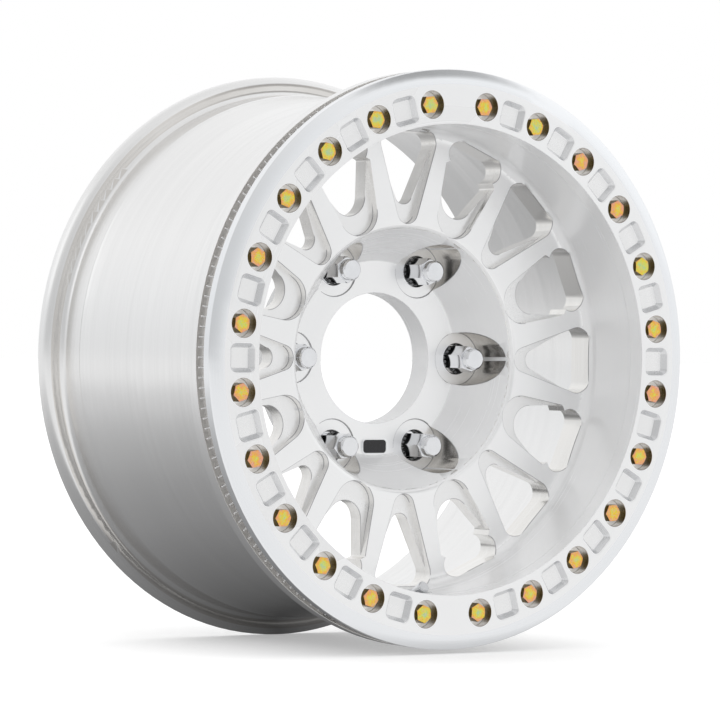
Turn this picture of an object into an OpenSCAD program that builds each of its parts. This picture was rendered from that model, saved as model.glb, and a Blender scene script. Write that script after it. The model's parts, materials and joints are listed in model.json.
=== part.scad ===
// Beadlock wheel, 17 x 9 inch, six lugs.
// The wheel axis lies along Y, the front faces -Y and Z points up.
// The origin is on the axis, midway between the ring's front face and the rear flange.
// Parts are drawn with the axis along Z and the front up, then on_axis() lays them down.
// "depth" is always measured rearward from the ring's front face.

/* [Rim] */
// Diameter of the tyre's bead seat
bead_seat_d = 436.6; // [420:0.1:450]
// Height of the rear flange above the bead seat
flange_h = 16.6; // [14:0.1:20]
// Overall width, ring front to rear flange
overall_w = 259; // [240:1:300]
// Wall of the barrel
barrel_wall = 6.5; // [5:0.5:8]
// Height of the front flange above the bead seat
front_flange_h = 12.7; // [10:0.1:16]
// Thickness of the front flange
front_flange_t = 10.5; // [8:0.5:12]
// Width of the slot where ring and flange pinch the bead
bead_slot_w = 11.4; // [9:0.1:14]
// How far the bore of lip and ring lies inside the bead seat
lip_inset = 30.5; // [26:0.1:36]

/* [Beadlock ring] */
// How far the ring reaches past the front flange
ring_overhang = 0.5; // [0:0.1:2]
// Thickness of the ring where it is bolted down
ring_t = 15.5; // [14:0.5:17]
// How much thinner the ring is where it pinches the bead
ring_step = 3.4; // [2:0.1:5]
// Radial width of the ring's outer bevel
bevel_w = 12; // [6:0.5:14]
// Depth of the ring's outer bevel
bevel_h = 4.5; // [2:0.5:6]
// Depth of the pockets between the ring's bolts
pocket_depth = 5; // [3:0.5:7]
// How far each wall of a pocket leans in on its way down
pocket_draft = 3.5; // [1:0.1:3.6]
// Radial size of a pocket's mouth
pocket_len = 22.6; // [18:0.2:24]
// Width of a pocket's mouth
pocket_w = 23; // [18:0.2:24]

/* [Ring bolts] */
// How far the bolt circle lies inside the bead seat
ring_bolt_inset = 14.3; // [12:0.1:17]
// Number of ring bolts
ring_bolts = 24; // [24]
// Counterbore that each bolt head sits in
counterbore_d = 22.4; // [20:0.2:24]
// Depth of the counterbores
counterbore_depth = 9.5; // [8.5:0.5:10]
// Thread diameter of a ring bolt
bolt_d = 8; // [6:0.5:8.5]
// Size across the flats of a ring bolt's head
bolt_af = 13; // [12:0.5:14]
// Height of a ring bolt's head
bolt_head_h = 7.3; // [5:0.1:8]
// Length of a ring bolt under its head
bolt_len = 24; // [20:1:28]
// Outer diameter of a thread insert
insert_d = 11; // [10:0.5:12]
// Length of a thread insert
insert_len = 16; // [12:1:18]

/* [Face] */
// Depth of the flat face that the windows are cut in
face_depth = 70; // [60:1:76]
// Thickness of the face at the windows
face_t = 21; // [16:1:24]
// Depth of the ledge around each window
ledge_depth = 6.5; // [3:0.5:10]
// Gap between the windows and the lip's bore
window_inset = 2.8; // [2:0.1:8]
// Width of a spoke at its outer end
spoke_w = 17.8; // [14:0.2:24]
// Radius of a window's outer corners
window_corner_r = 10; // [6:0.5:12]
// Gap from the slope's edge out to a narrow window's recess
narrow_inset = 2; // [0:0.1:6]
// Gap from the slope's edge out to a wide window's recess
wide_inset = 0.4; // [0:0.1:4]
// Gap from the slope's edge out to the openings through the face
opening_inset = 18; // [14:0.5:24]

/* [Hub] */
// Bore for the hub's pilot
hub_bore_d = 107; // [78:0.1:108]
// Diameter of the lug circle
lug_pcd = 165.1; // [150:0.1:170]
// Number of lugs
lug_count = 6; // [6]
// Depth of the hub's front face
hub_depth = 114; // [108:1:118]
// Thickness of the hub at its mounting pad
hub_t = 23; // [20:1:28]
// Width of the mounting pad outside the lug circle
pad_margin = 18.45; // [16:0.05:22]
// How far the edge of the front flat lies inside the lug circle
hub_flat_inset = 2.55; // [1:0.05:6]
// Diameter of each lug's spot face
lug_pocket_d = 43.5; // [40:0.5:46]
// Gap around a nut in the well that it turns in
nut_gap = 1.4; // [1:0.1:3]
// Thickness of the hub behind a nut's cone seat
seat_web = 7.4; // [5:0.1:10]
// Hole for a lug stud
stud_hole_d = 15.5; // [14.5:0.1:16]

/* [Lug nuts] */
// Size across the flats of a lug nut
nut_af = 19; // [17:0.5:20]
// Overall length of a lug nut
nut_len = 42; // [38:1:46]
// How much further in a lug nut's round end lies than its flats
nut_end_step = 0.7; // [0.2:0.1:2]
// Length of a lug nut's round closed end
nut_end_len = 7; // [4:0.5:10]
// Thread of a lug nut
nut_thread_d = 12.4; // [11:0.1:13]

/* [Badge] */
// Width of the badge
badge_w = 24; // [18:1:26]
// Height of the badge
badge_h = 12.2; // [8:0.2:14]
// Thickness of the badge
badge_t = 1.2; // [0.8:0.1:2]

/* [Valve] */
// Angle between the valve and the wheel's axis
valve_tilt = 29; // [24:1:34]
// Wall of the rubber sleeve round the stem
sleeve_wall = 1.75; // [1.5:0.05:2.5]
// Thickness of the web that the valve clamps
valve_web = 6; // [5:0.5:7]
// Diameter of the threaded stem
stem_d = 7.7; // [7.5:0.1:8]
// Wall of the valve cap
cap_wall = 0.8; // [0.6:0.1:1.5]
// Length of the valve cap
cap_len = 11; // [10:0.5:12]

/* [Hidden] */
$fn = 96;

// Gap left between close-fitting curved faces
fit = 0.05;
// How far a cutter runs past the face that it cuts
over = 1;

// Depths of the ring bolts and their inserts
insert_front = ring_t + 0.5;
bolt_tip = counterbore_depth + bolt_len;
insert_hole_end = max(insert_front + insert_len, bolt_tip) + 1.5;

// Radii and depths of the rim
seat_r = bead_seat_d / 2;
lip_r = seat_r - lip_inset;
pad_edge_r = seat_r - 0.8;
front_flange_r = seat_r + front_flange_h;
ring_r = front_flange_r + ring_overhang;
slot_depth = ring_t - ring_step + bead_slot_w;
flange_back = slot_depth + front_flange_t;
rear_flange_r = seat_r + flange_h;
flange_curl_r = 9.5;
flange_tip_r = 3;
flange_wall_depth = overall_w - flange_curl_r - flange_tip_r - 1.5;
seat_fillet_r = 6.5;
seat_w = 20;
hump_depth = flange_wall_depth - seat_fillet_r - seat_w;
seat_taper = 1.75;
barrel_mid_depth = hump_depth - 30;
barrel_mid_r = seat_r - 4.3;
well_depth = barrel_mid_depth - 41;
well_r = seat_r - 8.8;
well_front_depth = flange_back + 24;
lip_root_depth = max(flange_back + 1, insert_hole_end);
well_front_r = seat_r - 15.3;

// Face and hub
face_back = face_depth + face_t;
lip_fillet_r = 10;
hub_back = hub_depth + hub_t;
lug_r = lug_pcd / 2;
hub_flat_r = lug_r - hub_flat_inset;
slope_angle = 58;
crest_r = 6;
crest_foot_r = hub_flat_r + (hub_depth - face_depth) / tan(slope_angle);
hub_foot_fillet = 2;
hub_flat_edge = hub_flat_r - hub_foot_fillet * tan(slope_angle / 2);
pad_r = lug_r + pad_margin;
back_slope_r = crest_foot_r + opening_inset - 2.5;

// Windows, drawn about a centre line along +Y
window_pairs = 8;
window_outer_r = lip_r - window_inset;
window_half_w = window_outer_r * sin(90 / window_pairs) - spoke_w / 2;
narrow_inner_r = crest_foot_r + narrow_inset;
wide_inner_r = crest_foot_r + wide_inset;
opening_inner_r = crest_foot_r + opening_inset;
corner_y = sqrt(pow(window_outer_r - window_corner_r, 2) - pow(window_half_w - window_corner_r, 2));
corner_x = window_half_w - window_corner_r;
narrow_recess_r = 10;
narrow_opening_r = 8.5;
wide_recess_r = 18.4;
wide_opening_r = 16;
shoulder_x = window_half_w - 2.9;
shoulder_y = corner_y - 12.6;
shoulder_r = 2;
lobe_pairs = [[corner_x, corner_y, window_corner_r], [-corner_x, corner_y, window_corner_r]];

// Lugs
lug_floor = hub_depth + 1.2;
nut_corner_d = nut_af / cos(30);
nut_collar_d = nut_corner_d + 0.8;
nut_end_d = nut_af - 2 * nut_end_step;
nut_well_d = nut_collar_d + 2 * nut_gap;
cone_half_angle = 30;
seat_len = (nut_well_d - stud_hole_d) / 2 / tan(cone_half_angle);
seat_back = hub_back - seat_web;
seat_front = seat_back - seat_len;
nut_cone_len = (nut_collar_d - stud_hole_d) / 2 / tan(cone_half_angle);
nut_cone_back = seat_back - 2 * fit;
nut_front = nut_cone_back - nut_len;

// Ring bolts
ring_bolt_r = seat_r - ring_bolt_inset;
bolt_pitch = 360 / ring_bolts;
bolt_hole_d = bolt_d + 0.6;

// Valve, drawn along its own axis from the web's front face outward
valve_tip_r = lip_r - 5.2;
valve_tip_depth = face_depth - 30;
valve_reach = 24;
valve_hole_d = stem_d + 2 * sleeve_wall + 2 * fit;
cap_d = stem_d + 2 * cap_wall + 2 * fit;
valve_head_d = valve_hole_d + 4.7;
valve_spot_d = valve_head_d + 1;
valve_back_spot_d = valve_head_d + 2;
valve_nut_af = stem_d + 4.3;
valve_nut_h = 5;
valve_washer_t = 1;
valve_head_h = 4;
seal_t = 1.6;
core_bore_d = 5.2;
core_r = core_bore_d / 2 - fit;
pin_d = 1.6;
core_len = 12;
stem_end = valve_reach - 3;
core_front = stem_end - 2;

// Rounded shapes

// Points where a straight line touches circles a and b on their outer side
function tangent_points(a, b) =
  let (
    gap = [b[0] - a[0], b[1] - a[1]],
    turn = atan2(gap[1], gap[0]) - acos((a[2] - b[2]) / norm(gap)),
    aim = [cos(turn), sin(turn)]
  )
  [[a[0], a[1]] + a[2] * aim, [b[0], b[1]] + b[2] * aim];

// Smooth outline around circles [x, y, r] that are listed counterclockwise
module rounded(circles) {
  last = len(circles) - 1;
  polygon([
    for (i = [0 : last])
      each tangent_points(circles[i], circles[i == last ? 0 : i + 1])
  ]);
  for (c = circles)
    translate([c[0], c[1]]) circle(r = c[2]);
}

// Lays a part down, so that its +Z looks forward and depth runs along +Y
module on_axis() {
  translate([0, -overall_w / 2, 0]) rotate([90, 0, 0]) children();
}

// Turns a part drawn at the top to a clock angle
module at_clock(angle) {
  rotate([0, 0, -angle]) children();
}

// Straight cut with a 2D outline, between two depths
module cut_between(front, back) {
  translate([0, 0, -back]) linear_extrude(height = back - front) children();
}

// Round hole or rod between two depths
module rod(d, front, back) {
  translate([0, 0, -back]) cylinder(d = d, h = back - front);
}

// Cone between two depths
module taper(d_front, d_back, front, back) {
  translate([0, 0, -back]) cylinder(d1 = d_back, d2 = d_front, h = back - front);
}

// Wheel body

// Half section of the one-piece wheel: x is the radius, y is minus the depth
module rim_outer_profile() {
  difference() {
    polygon([
      [0, -ring_t],
      [pad_edge_r, -ring_t],
      [pad_edge_r, -slot_depth],
      [front_flange_r, -slot_depth],
      [front_flange_r, -flange_back],
      [well_front_r + 9, -flange_back],
      [well_front_r + 9, -lip_root_depth],
      [well_front_r, -lip_root_depth - 15],
      [well_front_r, -well_front_depth],
      [well_r, -well_depth],
      [barrel_mid_r, -barrel_mid_depth],
      [seat_r - 1, -hump_depth + 4],
      [seat_r + 0.4, -hump_depth],
      [seat_r - seat_taper, -hump_depth - 4],
      [seat_r, -flange_wall_depth + seat_fillet_r],
      [seat_r + seat_fillet_r, -flange_wall_depth + seat_fillet_r],
      [seat_r + seat_fillet_r, -flange_wall_depth],
      [rear_flange_r, -flange_wall_depth],
      [rear_flange_r, -overall_w],
      [0, -overall_w]
    ]);
    translate([seat_r + seat_fillet_r, -flange_wall_depth + seat_fillet_r]) circle(r = seat_fillet_r);
    translate([rear_flange_r - flange_curl_r, -flange_wall_depth - flange_curl_r])
      corner_relief(flange_curl_r, 1);
    translate([rear_flange_r - flange_tip_r, -overall_w + flange_tip_r]) corner_relief(flange_tip_r, -1);
  }
}

// What is cut off to round a square corner, about the centre of its arc
module corner_relief(r, up) {
  difference() {
    translate([0, up > 0 ? 0 : -r - over]) square([r + over, r + over]);
    circle(r = r);
  }
}

// Space in front of the face: lip bore, face, slope and hub flat
module front_space_profile() {
  difference() {
    polygon([
      [-over, over],
      [lip_r, over],
      [lip_r, -face_depth],
      [crest_foot_r, -face_depth],
      [hub_flat_r, -hub_depth],
      [-over, -hub_depth]
    ]);
    lip_fillet_profile();
    hub_fillet_profile();
  }
  crest_relief_profile();
}

// Metal left in the corner between lip bore and face
module lip_fillet_profile() {
  difference() {
    translate([lip_r - lip_fillet_r, -face_depth - over])
      square([lip_fillet_r + over, lip_fillet_r + over]);
    translate([lip_r - lip_fillet_r, -face_depth + lip_fillet_r]) circle(r = lip_fillet_r);
  }
}

// Metal left in the corner between hub flat and slope
module hub_fillet_profile() {
  foot = hub_foot_fillet * tan(slope_angle / 2);
  centre = [hub_flat_r - foot, -hub_depth + hub_foot_fillet];
  difference() {
    polygon([
      [centre[0], -hub_depth - over],
      [hub_flat_r, -hub_depth - over],
      [hub_flat_r + foot * cos(slope_angle) + over, -hub_depth + foot * sin(slope_angle)],
      [hub_flat_r + foot * cos(slope_angle), -hub_depth + foot * sin(slope_angle)],
      centre
    ]);
    translate(centre) circle(r = hub_foot_fillet);
  }
}

// Metal taken off the corner between slope and face
module crest_relief_profile() {
  back = crest_r * tan(slope_angle / 2);
  centre = [crest_foot_r + back, -face_depth - crest_r];
  difference() {
    polygon([
      [crest_foot_r + back, -face_depth + over],
      [crest_foot_r - over, -face_depth + over],
      [crest_foot_r - back * cos(slope_angle) - over, -face_depth - back * sin(slope_angle)],
      [crest_foot_r - back * cos(slope_angle), -face_depth - back * sin(slope_angle)],
      centre
    ]);
    translate(centre) circle(r = crest_r);
  }
}

// Space behind the face: mounting pad, back of the face and inside of the barrel
module back_space_profile() {
  back_fillet_r = 9;
  inner_front_r = well_front_r + (face_back + back_fillet_r - well_front_depth)
    * (well_r - well_front_r) / (well_depth - well_front_depth) - barrel_wall;
  difference() {
    polygon([
      [-over, -hub_back],
      [pad_r, -hub_back],
      [back_slope_r, -face_back],
      [inner_front_r, -face_back],
      [inner_front_r, -face_back - back_fillet_r],
      [well_r - barrel_wall, -well_depth],
      [barrel_mid_r - barrel_wall, -barrel_mid_depth],
      [seat_r - seat_taper - barrel_wall, -hump_depth - 4],
      [seat_r - barrel_wall - 0.5, -flange_wall_depth],
      [seat_r + 2, -overall_w + 4],
      [seat_r + 4, -overall_w - over],
      [-over, -overall_w - over]
    ]);
    difference() {
      translate([inner_front_r - back_fillet_r, -face_back - back_fillet_r])
        square([back_fillet_r + over, back_fillet_r + over]);
      translate([inner_front_r - back_fillet_r, -face_back - back_fillet_r]) circle(r = back_fillet_r);
    }
  }
}

module narrow_recess() {
  rounded(concat([[0, narrow_inner_r + narrow_recess_r, narrow_recess_r]], lobe_pairs));
}

module narrow_opening() {
  rounded(concat([[0, opening_inner_r + narrow_opening_r, narrow_opening_r]], lobe_pairs));
}

// Wide window: a U with shoulders, and the lobe beyond them
module wide_outline(inner_r, round_r) {
  rounded([
    [0, inner_r + round_r, round_r],
    [shoulder_x, shoulder_y, shoulder_r],
    [shoulder_x - 8, shoulder_y + 8, shoulder_r],
    [8 - shoulder_x, shoulder_y + 8, shoulder_r],
    [-shoulder_x, shoulder_y, shoulder_r]
  ]);
  rounded(concat([[0, corner_y - 14, window_corner_r]], lobe_pairs));
}

// One window: a shallow recess with the opening through its floor
module window_cut(recess_front) {
  cut_between(recess_front, face_depth + ledge_depth) children(0);
  cut_between(face_depth + ledge_depth - over, hub_depth) children(1);
}

module windows() {
  window_front = face_depth - lip_fillet_r - 2;
  for (i = [0 : window_pairs - 1]) {
    at_clock(i * 360 / window_pairs) window_cut(window_front) {
      narrow_recess();
      narrow_opening();
    }
    at_clock((i + 0.5) * 360 / window_pairs) window_cut(window_front) {
      wide_outline(wide_inner_r, wide_recess_r);
      wide_outline(opening_inner_r - 0.5, wide_opening_r);
    }
  }
}

// Spot face, nut well, cone seat and stud hole of one lug, cut as one turned shape
module lug_cut() {
  rotate_extrude() polygon([
    [0, 2 - face_depth],
    [lug_pocket_d / 2, 2 - face_depth],
    [lug_pocket_d / 2, -lug_floor],
    [nut_well_d / 2, -lug_floor],
    [nut_well_d / 2, -seat_front],
    [stud_hole_d / 2, -seat_back],
    [stud_hole_d / 2, -hub_back - over],
    [0, -hub_back - over]
  ]);
}

module wheel_body() {
  color([0.86, 0.87, 0.88])
  on_axis()
  difference() {
    rotate_extrude() difference() {
      rim_outer_profile();
      front_space_profile();
      back_space_profile();
    }
    rod(hub_bore_d, 0, overall_w);
    windows();
    for (i = [0 : lug_count - 1])
      at_clock((i + 0.5) * 360 / lug_count) translate([0, lug_r, 0]) lug_cut();
    for (i = [0 : ring_bolts - 1])
      at_clock((i + 0.5) * bolt_pitch) translate([0, ring_bolt_r, 0])
        rod(insert_d + 2 * fit, ring_t - over, insert_hole_end);
    on_valve() valve_hole();
  }
}

// Beadlock ring

module ring_profile() {
  polygon([
    [lip_r, 0],
    [ring_r - bevel_w, 0],
    [ring_r, -bevel_h],
    [ring_r, -ring_t + ring_step],
    [pad_edge_r + 1.5, -ring_t + ring_step],
    [pad_edge_r, -ring_t],
    [lip_r, -ring_t]
  ]);
}

// Section of a pocket along one of its sides, with leaning walls
module pocket_section(size) {
  lean = pocket_draft / pocket_depth;
  polygon([
    [size / 2 + over * lean, over],
    [-size / 2 - over * lean, over],
    [pocket_draft - size / 2, -pocket_depth],
    [size / 2 - pocket_draft, -pocket_depth]
  ]);
}

// What is left standing in a corner of a pocket, so that the corner is part of a cone
module pocket_corner(r) {
  lean = pocket_draft / pocket_depth;
  under = over / 10;
  difference() {
    translate([0, 0, -pocket_depth - under])
      cube([r + over, r + over, pocket_depth + over + 2 * under]);
    taper(2 * (r + 2 * over * lean), 2 * (r - pocket_draft - 2 * under * lean),
      -2 * over, pocket_depth + 2 * under);
  }
}

// Rounded square pocket between two bolts
module pocket_cut() {
  outer_corner = 5.4;
  inner_corner = 4.4;
  translate([0, ring_bolt_r - 1, 0]) difference() {
    intersection() {
      rotate([90, 0, 0]) translate([0, 0, -pocket_len])
        linear_extrude(height = 2 * pocket_len) pocket_section(pocket_w);
      rotate([90, 0, 90]) translate([0, 0, -pocket_w])
        linear_extrude(height = 2 * pocket_w) pocket_section(pocket_len);
    }
    for (side = [0, 1]) mirror([side, 0, 0]) {
      translate([pocket_w / 2 - outer_corner, pocket_len / 2 - outer_corner, 0])
        pocket_corner(outer_corner);
      translate([pocket_w / 2 - inner_corner, inner_corner - pocket_len / 2, 0])
        mirror([0, 1, 0]) pocket_corner(inner_corner);
    }
  }
}

module beadlock_ring() {
  color([0.88, 0.89, 0.9])
  on_axis()
  difference() {
    rotate_extrude() ring_profile();
    for (i = [0 : ring_bolts - 1]) {
      at_clock((i + 0.5) * bolt_pitch) translate([0, ring_bolt_r, 0]) {
        rod(counterbore_d, -over, counterbore_depth);
        rod(bolt_hole_d, 0, ring_t + over);
      }
      // The top and bottom gaps stay solid
      if (i % (ring_bolts / 2) != 0)
        at_clock(i * bolt_pitch) pocket_cut();
    }
  }
}

// Ring bolts and their inserts. Each one stopped at its own angle when it was tightened.

module ring_bolt_shape(turned) {
  head_front = counterbore_depth - bolt_head_h;
  corner_d = bolt_af / cos(30);
  shank_r = bolt_d / 2 - fit;
  rotate([0, 0, turned]) intersection() {
    translate([0, 0, -counterbore_depth]) cylinder(d = corner_d, h = bolt_head_h, $fn = 6);
    rotate_extrude() polygon([
      [0, -head_front],
      [bolt_af / 2 - 0.15, -head_front],
      [corner_d / 2 + over, -head_front - 0.9],
      [corner_d / 2 + over, -counterbore_depth - over],
      [0, -counterbore_depth - over]
    ]);
  }
  rotate_extrude() polygon([
    [0, -counterbore_depth + over],
    [shank_r, -counterbore_depth + over],
    [shank_r, -bolt_tip + 1],
    [shank_r - 1, -bolt_tip],
    [0, -bolt_tip]
  ]);
}

module ring_bolt(i) {
  color([0.86, 0.68, 0.25])
  on_axis() at_clock((i + 0.5) * bolt_pitch) translate([0, ring_bolt_r, 0]) ring_bolt_shape(23 * i + 8);
}

module thread_inserts() {
  color([0.55, 0.56, 0.58])
  on_axis()
  for (i = [0 : ring_bolts - 1])
    at_clock((i + 0.5) * bolt_pitch) translate([0, ring_bolt_r, 0])
      difference() {
        rod(insert_d, insert_front, insert_front + insert_len);
        rod(bolt_d, insert_front - over, insert_front + insert_len + over);
      }
}

// Lug nuts

module lug_nut_shape(turned) {
  hex_front = nut_front + nut_end_len;
  hex_back = nut_cone_back - nut_cone_len;
  chamfer = 1.4;
  nut_bore_front = nut_front + 8;
  difference() {
    union() {
      rotate_extrude() polygon([
        [0, -nut_front],
        [nut_end_d / 2 - chamfer, -nut_front],
        [nut_end_d / 2, -nut_front - chamfer],
        [nut_end_d / 2, -hex_back + over],
        [nut_collar_d / 2, -hex_back + over],
        [nut_collar_d / 2, -hex_back],
        [stud_hole_d / 2, -nut_cone_back],
        [0, -nut_cone_back]
      ]);
      rotate([0, 0, turned]) intersection() {
        translate([0, 0, -hex_back + over / 2])
          cylinder(d = nut_corner_d, h = hex_back - hex_front - over / 2, $fn = 6);
        rotate_extrude() polygon([
          [0, -hex_front],
          [nut_af / 2 - 0.2, -hex_front],
          [nut_corner_d / 2 + over, -hex_front - chamfer],
          [nut_corner_d / 2 + over, -hex_back],
          [0, -hex_back]
        ]);
      }
    }
    // Blind hole with a drill point at its end
    rotate_extrude() polygon([
      [0, nut_thread_d / 2 * tan(31) - nut_bore_front],
      [nut_thread_d / 2, -nut_bore_front],
      [nut_thread_d / 2, -nut_cone_back - over],
      [0, -nut_cone_back - over]
    ]);
  }
}

module lug_nut(i) {
  color([0.8, 0.81, 0.83])
  on_axis() at_clock((i + 0.5) * 360 / lug_count) translate([0, lug_r, 0]) lug_nut_shape(13 * i);
}

// Badge

module hub_badge() {
  corner = 3.6;
  x = badge_w / 2 - corner;
  y = badge_h / 2 - corner;
  // The badge's lower corners end just inside the hub's flat
  badge_r = sqrt(pow(hub_flat_edge - 0.1 - corner, 2) - x * x) - y;
  color([0.06, 0.06, 0.07])
  on_axis() translate([0, -badge_r, 0])
    cut_between(hub_depth - badge_t, hub_depth)
      rounded([[x, -y, corner], [x, y, corner], [-x, y, corner], [-x, -y, corner]]);
}

// Valve, at the bottom of the wheel

// Puts the valve's axis in place: +Z points forward, out of the web
module on_valve() {
  translate([0, -valve_tip_r, -valve_tip_depth])
    rotate([-valve_tilt, 0, 0])
      translate([0, 0, -valve_reach]) children();
}

module valve_hole() {
  cylinder(d = valve_spot_d, h = valve_reach + 12);
  translate([0, 0, -valve_web - over]) cylinder(d = valve_hole_d, h = valve_web + 2 * over);
  translate([0, 0, -valve_web - 45]) cylinder(d = valve_back_spot_d, h = 45);
}

// Tube along the valve's axis
module tube(od, id, from, to) {
  difference() {
    translate([0, 0, from]) cylinder(d = od, h = to - from);
    translate([0, 0, from - over]) cylinder(d = id, h = to - from + 2 * over);
  }
}

module valve_stem() {
  head_top = -valve_web - seal_t;
  color([0.78, 0.79, 0.8])
  on_axis() on_valve()
  difference() {
    union() {
      translate([0, 0, head_top - valve_head_h]) cylinder(d = valve_head_d, h = valve_head_h);
      translate([0, 0, head_top - over]) cylinder(d = stem_d, h = stem_end - head_top + over);
    }
    translate([0, 0, core_front - core_len]) cylinder(d = core_bore_d, h = core_len + 4);
    translate([0, 0, head_top - valve_head_h - over]) cylinder(d = 3, h = 60);
  }
}

// Rubber washer with a sleeve in the hole
module valve_seal() {
  sleeve = valve_web - 1;
  color([0.09, 0.09, 0.09])
  on_axis() on_valve()
  difference() {
    union() {
      translate([0, 0, -valve_web - seal_t]) cylinder(d = valve_head_d, h = seal_t);
      translate([0, 0, -valve_web - seal_t]) cylinder(d = valve_hole_d - 2 * fit, h = seal_t + sleeve);
    }
    translate([0, 0, -valve_web - seal_t - over]) cylinder(d = stem_d + 2 * fit, h = valve_web + 4);
  }
}

module valve_washer() {
  color([0.8, 0.81, 0.82])
  on_axis() on_valve() tube(valve_spot_d - 1, stem_d + 0.4, 0, valve_washer_t);
}

module valve_nut() {
  color([0.8, 0.81, 0.82])
  on_axis() on_valve()
  difference() {
    translate([0, 0, valve_washer_t]) cylinder(d = valve_nut_af / cos(30), h = valve_nut_h, $fn = 6);
    translate([0, 0, 0]) cylinder(d = stem_d + 2 * fit, h = valve_nut_h + 2 * over);
  }
}

// Threaded barrel of the valve core, with a shelf that carries the spring
module valve_core() {
  color([0.72, 0.58, 0.3])
  on_axis() on_valve()
  difference() {
    translate([0, 0, core_front - core_len]) cylinder(r = core_r, h = core_len);
    translate([0, 0, core_front - core_len + 1.2]) cylinder(d = 3.6, h = core_len);
    translate([0, 0, core_front - core_len - over]) cylinder(d = pin_d + 2 * fit, h = 4);
  }
}

// Closed sleeve with the coil's outer and inner diameters
module valve_spring() {
  color([0.7, 0.7, 0.72])
  on_axis() on_valve() tube(3.2, 2.2, core_front - core_len + 1.2, core_front - 3);
}

// Pin with the collar that the spring bears on
module valve_pin() {
  collar_back = core_front - 3;
  color([0.75, 0.76, 0.78])
  on_axis() on_valve() {
    translate([0, 0, core_front - core_len - 1]) cylinder(d = pin_d, h = core_len + 2);
    translate([0, 0, collar_back]) cylinder(d = 3.2, h = 1);
  }
}

module valve_cap() {
  bore_end = stem_end + 1.4;
  color([0.82, 0.83, 0.84])
  on_axis() on_valve()
  difference() {
    rotate_extrude() polygon([
      [0, valve_reach - cap_len],
      [cap_d / 2, valve_reach - cap_len],
      [cap_d / 2, valve_reach - 1],
      [cap_d / 2 - 1, valve_reach],
      [0, valve_reach]
    ]);
    translate([0, 0, valve_reach - cap_len - over])
      cylinder(d = stem_d + 2 * fit, h = bore_end - valve_reach + cap_len + over);
  }
}

wheel_body();
beadlock_ring();
thread_inserts();
hub_badge();
valve_stem();
valve_seal();
valve_washer();
valve_nut();
valve_core();
valve_spring();
valve_pin();
valve_cap();
lug_nut(0);  // lug_nut_1
lug_nut(1);  // lug_nut_2
lug_nut(2);  // lug_nut_3
lug_nut(3);  // lug_nut_4
lug_nut(4);  // lug_nut_5
lug_nut(5);  // lug_nut_6
ring_bolt(0);  // ring_bolt_01
ring_bolt(1);  // ring_bolt_02
ring_bolt(2);  // ring_bolt_03
ring_bolt(3);  // ring_bolt_04
ring_bolt(4);  // ring_bolt_05
ring_bolt(5);  // ring_bolt_06
ring_bolt(6);  // ring_bolt_07
ring_bolt(7);  // ring_bolt_08
ring_bolt(8);  // ring_bolt_09
ring_bolt(9);  // ring_bolt_10
ring_bolt(10);  // ring_bolt_11
ring_bolt(11);  // ring_bolt_12
ring_bolt(12);  // ring_bolt_13
ring_bolt(13);  // ring_bolt_14
ring_bolt(14);  // ring_bolt_15
ring_bolt(15);  // ring_bolt_16
ring_bolt(16);  // ring_bolt_17
ring_bolt(17);  // ring_bolt_18
ring_bolt(18);  // ring_bolt_19
ring_bolt(19);  // ring_bolt_20
ring_bolt(20);  // ring_bolt_21
ring_bolt(21);  // ring_bolt_22
ring_bolt(22);  // ring_bolt_23
ring_bolt(23);  // ring_bolt_24
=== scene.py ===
"""Looks of a wheel whose clamping ring is bolted over the tyre's bead.

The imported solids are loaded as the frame.  The turned and milled pieces are
copies of their solids with broken edges, and the small details that the
solids leave out are modelled beside them.
"""

import json
import logging
import math
from dataclasses import dataclass
from enum import Enum, IntEnum
from typing import Callable, Dict, Iterable, List, Tuple, Union

import bpy
from mathutils import Matrix, Vector, kdtree

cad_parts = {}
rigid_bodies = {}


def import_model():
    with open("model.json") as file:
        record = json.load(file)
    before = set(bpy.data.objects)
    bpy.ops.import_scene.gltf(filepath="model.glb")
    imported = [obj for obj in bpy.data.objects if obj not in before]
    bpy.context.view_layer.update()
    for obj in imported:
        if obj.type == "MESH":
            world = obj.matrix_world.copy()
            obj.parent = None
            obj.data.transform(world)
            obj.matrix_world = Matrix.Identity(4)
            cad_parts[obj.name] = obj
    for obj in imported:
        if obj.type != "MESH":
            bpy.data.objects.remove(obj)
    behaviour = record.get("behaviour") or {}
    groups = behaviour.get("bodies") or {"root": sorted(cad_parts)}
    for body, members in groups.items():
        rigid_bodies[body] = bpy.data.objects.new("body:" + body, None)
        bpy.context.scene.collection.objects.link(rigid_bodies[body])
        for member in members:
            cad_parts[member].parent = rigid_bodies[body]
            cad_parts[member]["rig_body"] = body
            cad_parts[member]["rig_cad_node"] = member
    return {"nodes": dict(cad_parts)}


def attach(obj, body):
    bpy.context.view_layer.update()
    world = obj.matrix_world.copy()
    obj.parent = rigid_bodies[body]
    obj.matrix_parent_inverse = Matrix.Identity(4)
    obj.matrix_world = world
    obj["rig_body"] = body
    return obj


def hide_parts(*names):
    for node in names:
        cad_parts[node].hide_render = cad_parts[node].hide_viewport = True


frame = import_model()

log = logging.getLogger("wheel")

MM = 0.001
WHEEL_BODY = "wheel"
# Half of the overall width: the ring's front face is this far in front of the origin
HALF_WIDTH = 129.5 * MM
FLOOR_Z = -0.2349
# The part of a noise's range that carries a pattern
NOISE_LOW, NOISE_HIGH = 0.3, 0.7

Piece = bpy.types.Object
Socket = bpy.types.NodeSocket
Colour = Tuple[float, float, float]
# What an input of a node can get
Value = Union[float, Tuple[float, ...], Socket]


def depth_of(point: Vector) -> float:
    """Distance behind the ring's front face, in metres."""
    return point.y + HALF_WIDTH


def radius_of(point: Vector) -> float:
    """Distance from the wheel's axis, in metres."""
    return math.hypot(point.x, point.z)


def looks_forward(normal: Vector) -> bool:
    """Tells whether a direction points out of the wheel's front."""
    return normal.y < -0.9


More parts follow.
